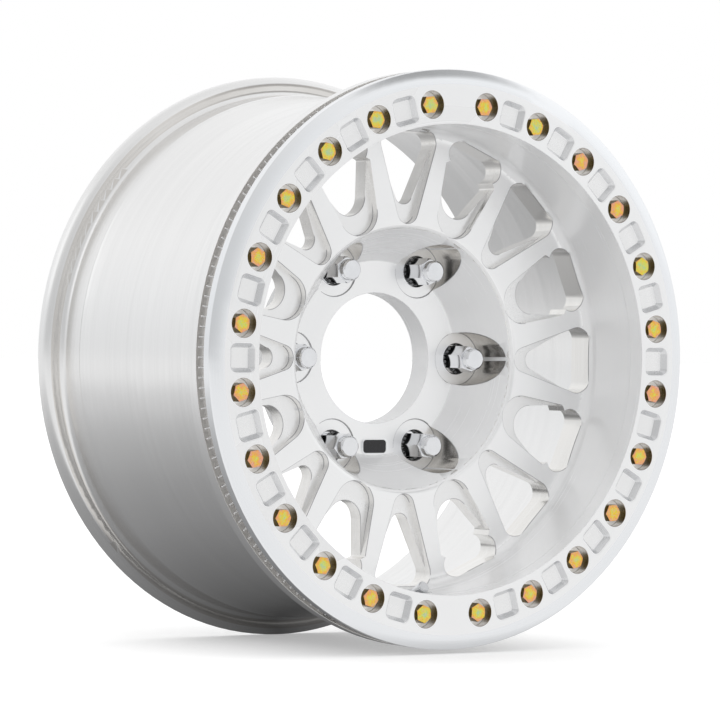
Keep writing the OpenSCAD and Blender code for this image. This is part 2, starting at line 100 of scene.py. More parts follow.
def rgba(colour: Colour) -> Tuple[float, float, float, float]:
    """The colour with full opacity."""
    return (colour[0], colour[1], colour[2], 1.0)


def grey(level: float) -> Colour:
    """A neutral colour of this brightness."""
    return (level, level, level)


class Bench:
    """The few operations that every piece is made with."""

    # Corners nearer than this are merged, in metres
    WELD = 2e-6
    # Faces that turn less than this are joined, and edges that turn more are rounded
    FLAT_ANGLE = math.radians(0.3)
    ROUND_ANGLE = math.radians(32)
    # Trial roundings, the parts in which an edge is tested, and its reach to a crossing
    TRIALS = 5
    PARTS = 4
    REACH = 1.3 * MM
    # Triangles smaller than this can't show a crossing, in square metres
    SLIVER = 2e-8
    # Turned faces this long keep a line between them where they turn by the angle, in degrees
    LONG_FACE = 4 * MM
    CONE_DEGREES = 1.0
    # An edge whose ends differ by less than this runs round the axis, in metres
    SAME_RING = 1e-5

    @staticmethod
    def clear() -> None:
        """Leaves nothing selected, in object mode."""
        if bpy.context.mode != "OBJECT":
            bpy.ops.object.mode_set(mode="OBJECT")
        bpy.ops.object.select_all(action="DESELECT")

    @staticmethod
    def take(obj: Piece) -> None:
        """Makes an object the only selected and active one.

        Args:
            obj: The object to work on.
        """
        Bench.clear()
        obj.select_set(True)
        bpy.context.view_layer.objects.active = obj

    @staticmethod
    def start_piece(name: str) -> Piece:
        """Names the primitive that was just added, and settles its place.

        Args:
            name: The piece's name.

        Returns:
            The new piece, with its place in its mesh.
        """
        piece = bpy.context.active_object
        piece.name = name
        piece.data.name = name
        Bench.take(piece)
        bpy.ops.object.transform_apply(location=True, rotation=True, scale=True)
        return piece

    @staticmethod
    def copy_of_node(node: str, name: str) -> Piece:
        """Copies a solid's mesh, merges its loose triangles and joins flat faces.

        Args:
            node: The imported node.
            name: The new piece's name.

        Returns:
            The merged copy, which stands for the node.
        """
        Bench.take(frame["nodes"][node])
        bpy.ops.object.duplicate()
        piece = bpy.context.active_object
        bpy.ops.object.parent_clear(type="CLEAR_KEEP_TRANSFORM")
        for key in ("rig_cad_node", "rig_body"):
            if key in piece:
                del piece[key]
        piece.name = name
        piece.data.name = name
        piece.data.materials.clear()
        bpy.ops.object.mode_set(mode="EDIT")
        bpy.ops.mesh.select_all(action="SELECT")
        bpy.ops.mesh.remove_doubles(threshold=Bench.WELD)
        bpy.ops.mesh.dissolve_limited(angle_limit=Bench.FLAT_ANGLE)
        bpy.ops.object.mode_set(mode="OBJECT")
        if piece.data.has_custom_normals:
            bpy.ops.mesh.customdata_custom_splitnormals_clear()
        return piece

    @staticmethod
    def break_edges(
        piece: Piece,
        width: float,
        segments: int = 2,
        finish: int = -1,
        clamp: bool = True,
        weighted: bool = False,
    ) -> None:
        """Rounds every sharp edge a little.

        Args:
            piece: The piece to finish.
            width: Width of the rounding, in metres.
            segments: Faces across the rounding.
            finish: Index of the rounding's own finish, or -1 for its neighbours' finish.
            clamp: Whether the narrowest face limits every rounding.
            weighted: Whether the edges' own weights choose them, in place of their angle.
        """
        Bench.take(piece)
        bevel = piece.modifiers.new("broken_edges", "BEVEL")
        bevel.width = width
        bevel.segments = segments
        bevel.limit_method = "WEIGHT" if weighted else "ANGLE"
        bevel.angle_limit = Bench.ROUND_ANGLE
        bevel.miter_outer = "MITER_ARC"
        bevel.harden_normals = False
        bevel.material = finish
        bevel.use_clamp_overlap = clamp
        bpy.ops.object.modifier_apply(modifier=bevel.name)

    @staticmethod
    def break_wide_edges(
        piece: Piece, width: float, finish: int, degrees: float
    ) -> None:
        """Rounds the sharp edges of a large piece, and spares those beside a narrow land.

        A trial shows where the rounding would cross itself; the edges there stay sharp.

        Args:
            piece: The piece to finish.
            width: Width of the rounding, in metres.
            finish: Index of the rounding's own finish.
            degrees: Edges sharper than this are rounded.
        """
        bpy.ops.object.mode_set(mode="EDIT")
        bpy.ops.mesh.select_all(action="DESELECT")
        bpy.ops.mesh.select_mode(type="FACE")
        bpy.ops.mesh.select_face_by_sides(number=4, type="GREATER")
        bpy.ops.mesh.quads_convert_to_tris(ngon_method="BEAUTY")
        bpy.ops.object.mode_set(mode="OBJECT")
        mesh = piece.data
        sharp = Bench.sharp_edges(mesh, degrees)
        weights = [0.0] * len(mesh.edges)
        for index in sharp:
            weights[index] = 1.0
        layer = mesh.attributes.new("bevel_weight_edge", "FLOAT", "EDGE")
        layer.data.foreach_set("value", weights)
        for _ in range(Bench.TRIALS):
            Bench.take(piece)
            bpy.ops.object.duplicate()
            trial = bpy.context.active_object
            Bench.break_edges(trial, width, finish=finish, clamp=False, weighted=True)
            spots = Bench.crossings(trial.data)
            bpy.data.meshes.remove(trial.data)
            if not spots:
                break
            tree = kdtree.KDTree(len(spots))
            for index, spot in enumerate(spots):
                tree.insert(spot, index)
            tree.balance()
            for index in sharp:
                start, end = (mesh.vertices[i].co for i in mesh.edges[index].vertices)
                steps = (step / Bench.PARTS for step in range(Bench.PARTS + 1))
                if any(tree.find(start.lerp(end, step))[2] < Bench.REACH for step in steps):
                    weights[index] = 0.0
            mesh.attributes["bevel_weight_edge"].data.foreach_set("value", weights)
        Bench.break_edges(piece, width, finish=finish, clamp=False, weighted=True)

    @staticmethod
    def faces_beside(mesh: bpy.types.Mesh) -> Dict[Tuple[int, int], List[int]]:
        """Lists each edge's faces, by the edge's two corners."""
        sides: Dict[Tuple[int, int], List[int]] = {}
        for polygon in mesh.polygons:
            for key in polygon.edge_keys:
                sides.setdefault(key, []).append(polygon.index)
        return sides

    @staticmethod
    def sharp_edges(mesh: bpy.types.Mesh, degrees: float) -> List[int]:
        """Lists the edges whose two faces meet at more than this angle."""
        sides = Bench.faces_beside(mesh)
        limit = math.cos(math.radians(degrees))
        found = []
        for edge in mesh.edges:
            faces = [mesh.polygons[i].normal for i in sides.get(edge.key, [])]
            if len(faces) == 2 and faces[0].dot(faces[1]) < limit:
                found.append(edge.index)
        return found

    @staticmethod
    def crossings(mesh: bpy.types.Mesh) -> List[Vector]:
        """Finds the corners and centres of triangles that fold over their own face."""
        mesh.calc_loop_triangles()
        spots: List[Vector] = []
        for triangle in mesh.loop_triangles:
            face = mesh.polygons[triangle.polygon_index]
            if triangle.area > Bench.SLIVER and triangle.normal.dot(face.normal) < 0:
                corners_of = [mesh.vertices[i].co.copy() for i in triangle.vertices]
                spots.extend(corners_of)
                spots.append(sum(corners_of, Vector()) / 3)
        return spots

    @staticmethod
    def smooth(piece: Piece, degrees: float = 34.0, crisp: bool = False) -> None:
        """Shades the piece smooth where its faces meet at a small angle.

        The broad faces lead the shading, so that flats stay flat beside a rounded edge.

        Args:
            piece: The piece to shade.
            degrees: Edges sharper than this stay sharp.
            crisp: Whether long turned faces keep a sharp line between them.
        """
        Bench.take(piece)
        bpy.ops.object.shade_smooth_by_angle(angle=math.radians(degrees))
        if crisp:
            Bench.crisp_cones(piece)
        weighted = piece.modifiers.new("flat_faces", "WEIGHTED_NORMAL")
        weighted.mode = "FACE_AREA"
        weighted.keep_sharp = True
        weighted.weight = 50
        bpy.ops.object.modifier_apply(modifier=weighted.name)

    @staticmethod
    def crisp_cones(piece: Piece) -> None:
        """Keeps the line sharp where two long turned faces meet at a small angle.

        Args:
            piece: The turned piece, already shaded.
        """
        mesh = piece.data
        spans = []
        for polygon in mesh.polygons:
            places = [mesh.vertices[i].co for i in polygon.vertices]
            radii = [radius_of(v) for v in places]
            depths = [v.y for v in places]
            spans.append(math.hypot(max(radii) - min(radii), max(depths) - min(depths)))
        sides = Bench.faces_beside(mesh)
        limit = math.cos(math.radians(Bench.CONE_DEGREES))
        for edge in mesh.edges:
            faces = sides.get(edge.key, [])
            if len(faces) != 2 or min(spans[i] for i in faces) < Bench.LONG_FACE:
                continue
            one, two = (mesh.vertices[i].co for i in edge.vertices)
            drift = max(abs(one.y - two.y), abs(radius_of(one) - radius_of(two)))
            if drift > Bench.SAME_RING:
                continue
            first, second = (mesh.polygons[i].normal for i in faces)
            if first.dot(second) < limit:
                edge.use_edge_sharp = True

    @staticmethod
    def edit_faces(
        piece: Piece, chosen: Callable[[bpy.types.MeshPolygon], bool]
    ) -> None:
        """Opens a piece for editing with only some faces selected.

        Args:
            piece: The piece to edit.
            chosen: Tells whether a face is selected.
        """
        Bench.take(piece)
        bpy.ops.object.mode_set(mode="EDIT")
        bpy.ops.mesh.select_all(action="DESELECT")
        bpy.ops.object.mode_set(mode="OBJECT")
        for polygon in piece.data.polygons:
            polygon.select = chosen(polygon)
        bpy.ops.object.mode_set(mode="EDIT")

    @staticmethod
    def dress(piece: Piece, *materials: bpy.types.Material) -> None:
        """Gives the piece these materials in place of any that it had."""
        piece.data.materials.clear()
        for material in materials:
            piece.data.materials.append(material)


class Streak(Enum):
    """Which way the cutter's lines run on a metal surface."""

    TURNED = "around the wheel's axis"
    MILLED = "across a wall, at one depth"
    PLAIN = "without direction"


class NodeSheet:
    """A node tree, with short calls for the nodes that are used here."""

    def __init__(self, tree: bpy.types.NodeTree) -> None:
        """Empties the tree.

        Args:
            tree: The tree of a material or of the world.
        """
        self.tree = tree
        self.tree.nodes.clear()

    def feed(self, target: Socket, value: Value) -> None:
        """Links a socket to an input, or sets the input to a plain value."""
        if isinstance(value, Socket):
            self.tree.links.new(value, target)
        else:
            target.default_value = value

    def node(self, kind: str, inputs: Dict[object, Value], **settings: str) -> bpy.types.Node:
        """Adds a node.

        Args:
            kind: The node's type.
            inputs: What each input gets, by its name or its number.
            **settings: The node's own settings.

        Returns:
            The node.
        """
        node = self.tree.nodes.new(kind)
        for name, setting in settings.items():
            setattr(node, name, setting)
        for key, value in inputs.items():
            self.feed(node.inputs[key], value)
        return node

    def place(self) -> Socket:
        """The surface point in the wheel's own frame, in metres."""
        return self.node("ShaderNodeTexCoord", {}).outputs["Object"]

    def light_path(self, kind: str) -> Socket:
        """Tells which kind of ray asks, such as "Is Camera Ray"."""
        return self.node("ShaderNodeLightPath", {}).outputs[kind]

    def glow(self, kind: str, colour: Value, strength: Value) -> Socket:
        """A surface or background that gives light."""
        return self.node(kind, {"Color": colour, "Strength": strength}).outputs[0]

    def choose(self, fac: Socket, no: Socket, yes: Socket) -> Socket:
        """Mixes two shaders: the second one shows where fac is 1."""
        return self.node("ShaderNodeMixShader", {0: fac, 1: no, 2: yes}).outputs[0]

    def math(self, operation: str, *values: Value) -> Socket:
        """One sum on numbers or sockets, by Blender's name for it."""
        inputs = dict(enumerate(values))
        return self.node("ShaderNodeMath", inputs, operation=operation).outputs[0]

    def length(self, *parts: Socket) -> Socket:
        """Length of a vector with these two parts."""
        squares = [self.math("MULTIPLY", part, part) for part in parts]
        return self.math("SQRT", self.math("ADD", *squares))

    def weigh(self, *terms: Tuple[Socket, float]) -> Socket:
        """Adds up sockets, each of them times its weight."""
        total, *others = [self.math("MULTIPLY", value, weight) for value, weight in terms]
        for other in others:
            total = self.math("ADD", total, other)
        return total

    def axes(self, point: Socket) -> List[Socket]:
        """Splits a point into X, Y and Z."""
        return list(self.node("ShaderNodeSeparateXYZ", {0: point}).outputs)

    def vector(self, *parts: Value) -> Socket:
        """Joins three numbers or sockets into a vector."""
        return self.node("ShaderNodeCombineXYZ", dict(enumerate(parts))).outputs[0]

    def noise(
        self, point: Socket, scale: float, detail: float = 2.0, rough: float = 0.5
    ) -> Socket:
        """Noise between 0 and 1.

        Args:
            point: Where to read it.
            scale: Its frequency.
            detail: Its octaves.
            rough: How strong the fine octaves are.

        Returns:
            The noise's value.
        """
        inputs = {"Scale": scale, "Detail": detail, "Roughness": rough, "Vector": point}
        return self.node("ShaderNodeTexNoise", inputs).outputs["Fac"]

    def spread(
        self, value: Socket, low: float, high: float, to_low: float, to_high: float
    ) -> Socket:
        """Maps one range onto another, clamped at both ends."""
        names = ("Value", "From Min", "From Max", "To Min", "To Max")
        inputs = dict(zip(names, (value, low, high, to_low, to_high)))
        return self.node("ShaderNodeMapRange", inputs).outputs["Result"]

    def vary(self, noise: Socket, low: Value, high: Value) -> Socket:
        """Turns a noise into two colours or numbers, and what lies between them."""
        if isinstance(low, tuple):
            return self.ramp(noise, [(NOISE_LOW, low), (NOISE_HIGH, high)])
        return self.spread(noise, NOISE_LOW, NOISE_HIGH, low, high)

    def ramp(self, value: Socket, stops: List[Tuple[float, Colour]]) -> Socket:
        """Colours a value.

        Args:
            value: The value, from 0 to 1.
            stops: Places along the ramp, each with its colour.

        Returns:
            The colour's socket.
        """
        node = self.node("ShaderNodeValToRGB", {0: value})
        elements = node.color_ramp.elements
        elements[0].position, elements[0].color = stops[0][0], rgba(stops[0][1])
        elements[1].position, elements[1].color = stops[-1][0], rgba(stops[-1][1])
        for position, colour in stops[1:-1]:
            element = elements.new(position)
            element.color = rgba(colour)
        return node.outputs[0]

    def blend(self, fac: Socket, first: Value, second: Value) -> Socket:
        """Mixes two colours or sockets: the second one shows where fac is 1."""
        first, second = (rgba(v) if isinstance(v, tuple) else v for v in (first, second))
        inputs = {0: fac, 6: first, 7: second}
        return self.node("ShaderNodeMix", inputs, data_type="RGBA").outputs[2]


class MaterialSheet(NodeSheet):
    """A material's node tree, with its one shader."""

    def __init__(self, name: str, metallic: float = 0.0) -> None:
        """Makes a material.

        Args:
            name: The material's name.
            metallic: How metallic it is.
        """
        self.material = bpy.data.materials.new(name)
        self.material.use_nodes = True
        super().__init__(self.material.node_tree)
        self.shader = self.node("ShaderNodeBsdfPrincipled", {"Metallic": metallic})
        self.node("ShaderNodeOutputMaterial", {"Surface": self.shader.outputs["BSDF"]})

    def apply(self, name: str, value: Value) -> None:
        """Feeds one input of the shader."""
        self.feed(self.shader.inputs[name], value)

    def bump(self, height: Socket, distance: float, strength: float) -> None:
        """Lifts the surface in shading by a height map.

        Args:
            height: The height, from 0 to 1.
            distance: What 1 stands for, in metres.
            strength: How much of it shows.
        """
        inputs = {"Strength": strength, "Distance": distance, "Height": height}
        self.apply("Normal", self.node("ShaderNodeBump", inputs).outputs["Normal"])

    def radial_tangent(self) -> None:
        """Stretches highlights across lines that run around the wheel's axis."""
        node = self.node("ShaderNodeTangent", {}, direction_type="RADIAL", axis="Y")
        self.apply("Tangent", node.outputs["Tangent"])
        self.apply("Anisotropic Rotation", 0.25)


@dataclass(frozen=True)
class CutMetal:
    """Bare aluminium as a lathe or a cutter leaves it."""

    name: str
    streak: Streak
    dark: Colour
    light: Colour
    smooth_roughness: float
    coarse_roughness: float
    line_pitch: float = 0.5 * MM
    line_depth: float = 0.004 * MM
    anisotropy: float = 0.0
    cloud: float = 0.5
    metallic: float = 1.0
    band_scale: float = 120.0
    drift_scale: float = 4.0
    cloud_scale: float = 14.0

    def material(self) -> bpy.types.Material:
        """Builds the finish.

        Returns:
            The material.
        """
        sheet = MaterialSheet(self.name, self.metallic)
        place = sheet.place()
        x, y, z = sheet.axes(place)
        radius = sheet.length(x, z)
        pitch = 1.0 / self.line_pitch
        if self.streak is Streak.PLAIN:
            height = sheet.noise(place, pitch, 3.0, 0.6)
        else:
            turned = self.streak is Streak.TURNED
            across = sheet.math("MULTIPLY", radius, pitch) if turned else 0.0
            lines = sheet.vector(across, sheet.math("MULTIPLY", y, pitch), 0.0)
            height = sheet.noise(lines, 1.0, 3.0, 0.6)
        band_place = sheet.vector(
            sheet.math("MULTIPLY", radius, self.band_scale),
            sheet.math("MULTIPLY", y, self.band_scale),
            sheet.math("MULTIPLY", sheet.math("ADD", x, z), self.drift_scale),
        )
        bands = sheet.noise(band_place, 1.0, 2.0)
        clouds = sheet.noise(place, self.cloud_scale, 2.0)
        mixed = sheet.weigh(
            (height, 0.5), (bands, 0.5 * (1.0 - self.cloud)), (clouds, 0.5 * self.cloud)
        )
        sheet.apply("Base Color", sheet.vary(mixed, self.dark, self.light))
        rough = sheet.vary(mixed, self.coarse_roughness, self.smooth_roughness)
        sheet.apply("Roughness", rough)
        if self.anisotropy:
            sheet.apply("Anisotropic", self.anisotropy)
            sheet.radial_tangent()
        sheet.bump(height, self.line_depth, 1.0)
        return sheet.material


@dataclass(frozen=True)
class PlainMetal:
    """Polished or plated metal with faint unevenness."""

    name: str
    colour: Colour
    roughness: float
    uneven: float = 0.06
    grain: float = 400.0
    relief: float = 0.002 * MM

    def material(self) -> bpy.types.Material:
        """Builds the finish.

        Returns:
            The material.
        """
        sheet = MaterialSheet(self.name, 1.0)
        place = sheet.place()
        grain = sheet.noise(place, self.grain, 3.0)
        darker: Colour = tuple(0.93 * c for c in self.colour)
        sheet.apply("Base Color", sheet.vary(grain, darker, self.colour))
        rough = sheet.vary(grain, self.roughness + self.uneven, self.roughness)
        sheet.apply("Roughness", rough)
        if self.relief:
            sheet.bump(grain, self.relief, 0.4)
        return sheet.material


@dataclass(frozen=True)
class ZincCoat:
    """Yellow zinc coat whose thin film shifts from green in the middle to pink at the rim, with
    painted shade on the heads' flanks.
    """

    name: str = "yellow_zinc"
    bolts: int = 24
    circle: float = 204.0 * MM
    head: float = 6.5 * MM
    patch_scale: float = 300.0
    speck_scale: float = 1300.0
    grain: float = 1500.0
    relief: float = 0.004 * MM
    speck: Colour = (0.80, 0.55, 0.42)
    # Colour of the heads' flanks: painted shade.
    side: Colour = (0.17, 0.12, 0.03)

    def material(self) -> bpy.types.Material:
        """Builds the finish, which knows where each bolt's own axis is.

        Returns:
            The material.
        """
        sheet = MaterialSheet(self.name, 1.0)
        place = sheet.place()
        x, _, z = sheet.axes(place)
        pitch = 2 * math.pi / self.bolts
        index = sheet.math("FLOOR", sheet.math("DIVIDE", sheet.math("ARCTAN2", x, z), pitch))
        clock = sheet.math("MULTIPLY", sheet.math("ADD", index, 0.5), pitch)
        across = sheet.math(
            "SUBTRACT", x, sheet.math("MULTIPLY", sheet.math("SINE", clock), self.circle)
        )
        upward = sheet.math(
            "SUBTRACT", z, sheet.math("MULTIPLY", sheet.math("COSINE", clock), self.circle)
        )
        away = sheet.length(across, upward)
        chance = sheet.node("ShaderNodeTexWhiteNoise", {"W": index}, noise_dimensions="1D")
        patches = sheet.noise(place, self.patch_scale, 3.0, 0.62)
        film = sheet.weigh(
            (away, 0.50 / self.head), (chance.outputs["Value"], 0.40), (patches, 1.20)
        )
        colour = sheet.ramp(
            sheet.spread(film, 0.60, 1.78, 0.0, 1.0),
            [
                (0.05, (0.47, 0.70, 0.40)),
                (0.24, (0.70, 0.76, 0.14)),
                (0.40, (0.90, 0.66, 0.07)),
                (0.55, (0.93, 0.46, 0.12)),
                (0.70, (0.90, 0.42, 0.26)),
                (0.92, (0.84, 0.44, 0.36)),
            ],
        )
        # Faces that turn sideways are painted dark: painted shade on the flanks of the heads.
        facing = sheet.axes(sheet.node("ShaderNodeNewGeometry", {}).outputs["Normal"])
        side = sheet.spread(facing[1], -0.75, -0.35, 0.0, 1.0)
        speck = sheet.spread(sheet.noise(place, self.speck_scale, 2.0), 0.56, 0.62, 0.0, 0.7)
        colour = sheet.blend(speck, colour, self.speck)
        sheet.apply("Base Color", sheet.blend(side, colour, self.side))
        grain = sheet.noise(place, self.grain, 2.0)
        sheet.apply("Roughness", sheet.vary(grain, 0.36, 0.24))
        sheet.bump(grain, self.relief, 0.5)
        return sheet.material


@dataclass(frozen=True)
class Gloss:
    """Gloss or matt paint, plastic or rubber with faint unevenness."""

    name: str
    colour: Colour
    roughness: float
    grain: float = 900.0
    relief: float = 0.003 * MM
    uneven: float = 0.08

    def material(self) -> bpy.types.Material:
        """Builds the finish.

        Returns:
            The material.
        """
        sheet = MaterialSheet(self.name)
        place = sheet.place()
        grain = sheet.noise(place, self.grain, 2.0)
        lighter: Colour = tuple(1.25 * c for c in self.colour)
        sheet.apply("Base Color", sheet.vary(grain, self.colour, lighter))
        rough = sheet.vary(grain, self.roughness + self.uneven, self.roughness)
        sheet.apply("Roughness", rough)
        sheet.bump(grain, self.relief, 0.5)
        return sheet.material


class Finishes:
    """Every finish on the wheel, each built once."""

    def __init__(self) -> None:
        """Builds the materials."""
        self.spoke_face = CutMetal(
            "turned_face", Streak.TURNED, (0.945, 0.95, 0.955), grey(0.97),
            0.26, 0.34, anisotropy=0.4,
        ).material()
        self.polished = CutMetal(
            "polished_lip", Streak.TURNED, (0.88, 0.90, 0.925), (0.93, 0.94, 0.955),
            0.10, 0.20, line_pitch=1.2 * MM, line_depth=0.002 * MM, anisotropy=0.5,
        ).material()
        self.barrel = CutMetal(
            "turned_barrel", Streak.TURNED, grey(0.89), grey(0.94),
            0.21, 0.27, line_pitch=1.6 * MM, line_depth=0.0012 * MM, anisotropy=0.5, cloud=0.1,
        ).material()
        self.milled = CutMetal(
            "milled_wall", Streak.MILLED, (0.84, 0.825, 0.80), (0.95, 0.945, 0.935),
            0.20, 0.30, line_pitch=1.4 * MM, line_depth=0.006 * MM, cloud=0.3,
        ).material()
        self.pocket = CutMetal(
            "milled_floor", Streak.PLAIN, grey(0.88), grey(0.95),
            0.24, 0.34, line_pitch=0.8 * MM, line_depth=0.004 * MM,
        ).material()
        # Brown-grey wall, darker than bare aluminium, in the bolts' counterbores and the groove
        # in front of the flange: painted shade, over real milling lines.
        self.bore_wall = CutMetal(
            "bore_wall_painted_shade", Streak.MILLED, (0.66, 0.63, 0.60), (0.90, 0.89, 0.87),
            0.16, 0.26, line_pitch=0.9 * MM, line_depth=0.006 * MM,
        ).material()
        self.soft_face = CutMetal(
            "turned_slope", Streak.TURNED, (0.94, 0.945, 0.955), grey(0.98),
            0.20, 0.30, line_pitch=0.9 * MM, line_depth=0.002 * MM, anisotropy=0.4, metallic=0.16,
        ).material()
        # Pocket walls greyer than the pocket floors: painted shade inside the pockets.
        self.pocket_wall = CutMetal(
            "pocket_wall", Streak.PLAIN, (0.74, 0.745, 0.76), (0.84, 0.845, 0.85),
            0.20, 0.30, line_pitch=0.8 * MM, line_depth=0.003 * MM,
        ).material()
        # Walls of the nuts' pockets, brown-grey and much darker than bare aluminium: painted
        # shade in the recess, over real milling lines.
        self.lug_wall = CutMetal(
            "lug_pocket_wall_painted_shade", Streak.MILLED, (0.40, 0.375, 0.34), (0.80, 0.78, 0.75),
            0.18, 0.28, line_pitch=1.1 * MM, line_depth=0.006 * MM,
        ).material()
        # Near-black metal deep in the nuts' pockets: painted shade where the gap round the nut
        # lies dark.
        self.well = PlainMetal("shaded_well", grey(0.10), 0.40).material()
        # Dark grey metal on rounded edges: painted shade lines along the edges.
        self.edge = PlainMetal("painted_shade_edge_line", (0.50, 0.50, 0.51), 0.30).material()
        self.chrome = PlainMetal("chrome", (0.86, 0.87, 0.89), 0.06, 0.02, 90.0, 0.0).material()
        self.valve_metal = PlainMetal("valve_metal", (0.80, 0.81, 0.83), 0.20).material()
        self.insert_steel = PlainMetal("insert_steel", (0.55, 0.56, 0.58), 0.35).material()
        self.brass = PlainMetal("turned_brass", (0.75, 0.58, 0.28), 0.25).material()
        self.rim_bright = PlainMetal("badge_rim", (0.88, 0.89, 0.90), 0.12).material()
        self.zinc = ZincCoat().material()
        self.badge_black = Gloss("badge_black", (0.012, 0.012, 0.014), 0.12).material()
        self.rubber = Gloss("seal_rubber", grey(0.03), 0.6).material()

    def listed(self, names: Iterable[IntEnum]) -> List[bpy.types.Material]:
        """The materials that a list of finishes names, in its order."""
        return [getattr(self, item.name.lower()) for item in names]


class BodyFinish(IntEnum):
    """The wheel body's finishes, in the order in which it carries them."""

    SPOKE_FACE = 0
    BARREL = 1
    MILLED = 2
    POCKET = 3
    # Darker wall of the groove at the flange: painted shade.
    BORE_WALL = 4
    # Dark rounded edges: painted shade lines.
    EDGE = 5
    SOFT_FACE = 6
    # Darker walls of the nuts' pockets: painted shade in the recess.
    LUG_WALL = 7
    # Near-black: painted shade deep in the nuts' pockets.
    WELL = 8


class RingFinish(IntEnum):
    """The clamping ring's finishes, in the order in which it carries them."""

    SPOKE_FACE = 0
    POLISHED = 1
    POCKET = 2
    # Darker walls of the counterbores: painted shade.
    BORE_WALL = 3
    # Greyer pocket walls: painted shade.
    POCKET_WALL = 4
    SOFT_FACE = 5


@dataclass
class WheelBody:
    """The one-piece wheel: barrel, flanges, lip, windowed face and hub."""

    finishes: Finishes
    face_depth: float = 70.0 * MM
    ledge_depth: float = 76.5 * MM
    back_depth: float = 91.0 * MM
    hub_depth: float = 114.0 * MM
    hub_slack: float = 25.0 * MM
    crest_radius: float = 112.0 * MM
    window_inner: float = 105.0 * MM
    window_outer: float = 186.0 * MM
    window_lead: float = 11.0 * MM
    barrel_radius: float = 130.0 * MM
    flange_radius: float = 199.0 * MM
    lug_count: int = 6
    lug_circle: float = 82.55 * MM
    lug_pocket: float = 22.2 * MM
    lug_edge: float = 22.6 * MM
    well_radius: float = 14.6 * MM
    edge: float = 0.45 * MM
    sharp_degrees: float = 41.0

    def build(self) -> Piece:
        """Copies the solid, breaks its edges and finishes each surface.

        Returns:
            The wheel's visible piece.
        """
        piece = Bench.copy_of_node("wheel_body", "wheel_body_turned")
        Bench.dress(piece, *self.finishes.listed(BodyFinish))
        Bench.break_wide_edges(piece, self.edge, BodyFinish.EDGE, self.sharp_degrees)
        for polygon in piece.data.polygons:
            # Rounded edges round the windows and nut pockets keep the dark metal, a painted shade
            # line.
            if polygon.material_index == BodyFinish.EDGE and self.dark_edge(polygon.center):
                continue
            polygon.material_index = self.surface(polygon.center, polygon.normal)
        Bench.smooth(piece, degrees=self.sharp_degrees, crisp=True)
        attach(piece, WHEEL_BODY)
        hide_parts("wheel_body")
        return piece

    def surface(self, centre: Vector, normal: Vector) -> BodyFinish:
        """Says which finish a face has.

        Args:
            centre: The face's centre.
            normal: Its outward direction.

        Returns:
            Its finish.
        """
        radius, depth = radius_of(centre), depth_of(centre)
        outward = (centre.x * normal.x + centre.z * normal.z) / max(radius, 1e-6)
        around = math.sqrt(max(0.0, 1.0 - outward * outward - normal.y * normal.y))
        lug = self.lug_distance(centre)
        # The walls of the nuts' pockets get a darker finish, which is painted shade in the
        # recess.
        if lug < self.lug_pocket and depth > self.face_depth + 1 * MM and abs(normal.y) < 0.5:
            # Deep down beside the nut the walls are painted near-black as shade.
            if lug < self.well_radius:
                return BodyFinish.WELL if abs(normal.y) < 0.3 else BodyFinish.LUG_WALL
            if radius < self.crest_radius and around > 0.04:
                return BodyFinish.LUG_WALL
        # Forward faces out at the flanges, such as the face in the groove behind the ring, are
        # painted darker as shade.
        if radius > self.flange_radius:
            return BodyFinish.BORE_WALL if looks_forward(normal) else BodyFinish.BARREL
        behind = depth > self.back_depth + 0.5 * MM and radius > self.barrel_radius
        if behind or normal.y > 0.9:
            return BodyFinish.BARREL
        within = self.window_inner < radius < self.window_outer
        in_window = within and depth > self.face_depth - self.window_lead
        if in_window and abs(normal.y) < 0.75 and (around > 0.1 or abs(outward) > 0.8):
            shallow = depth < self.back_depth + 0.1 * MM
            if shallow and not self.on_cone(radius, outward, around):
                return BodyFinish.MILLED
        if in_window and abs(depth - self.ledge_depth) < 1.2 * MM:
            return BodyFinish.POCKET
        on_face = abs(depth - self.face_depth) < 0.6 * MM and radius > 100 * MM
        on_hub = abs(depth - self.hub_depth) < self.hub_slack and normal.y < -0.97
        return BodyFinish.SPOKE_FACE if on_face or on_hub else BodyFinish.SOFT_FACE

    def dark_edge(self, centre: Vector) -> bool:
        """Tells whether a rounded edge keeps a dark line of painted shade, round a window or a
        nut's pocket.
        """
        radius, depth = radius_of(centre), depth_of(centre)
        if depth > self.face_depth + 1 * MM and self.lug_distance(centre) < self.lug_edge:
            return depth < self.hub_depth + 12 * MM
        within = self.window_inner < radius < self.window_outer
        return within and depth < self.ledge_depth + 1.5 * MM

    def on_cone(self, radius: float, outward: float, around: float) -> bool:
        """Tells whether a face lies on the slope down to the hub."""
        return radius < self.crest_radius and around < 0.05 and outward > 0.2

    def lug_distance(self, centre: Vector) -> float:
        """Distance of a point from the nearest nut's axis, in metres."""
        gaps = []
        for index in range(self.lug_count):
            angle = (index + 0.5) * 2 * math.pi / self.lug_count
            across = centre.x - self.lug_circle * math.sin(angle)
            upward = centre.z - self.lug_circle * math.cos(angle)
            gaps.append(math.hypot(across, upward))
        return min(gaps)


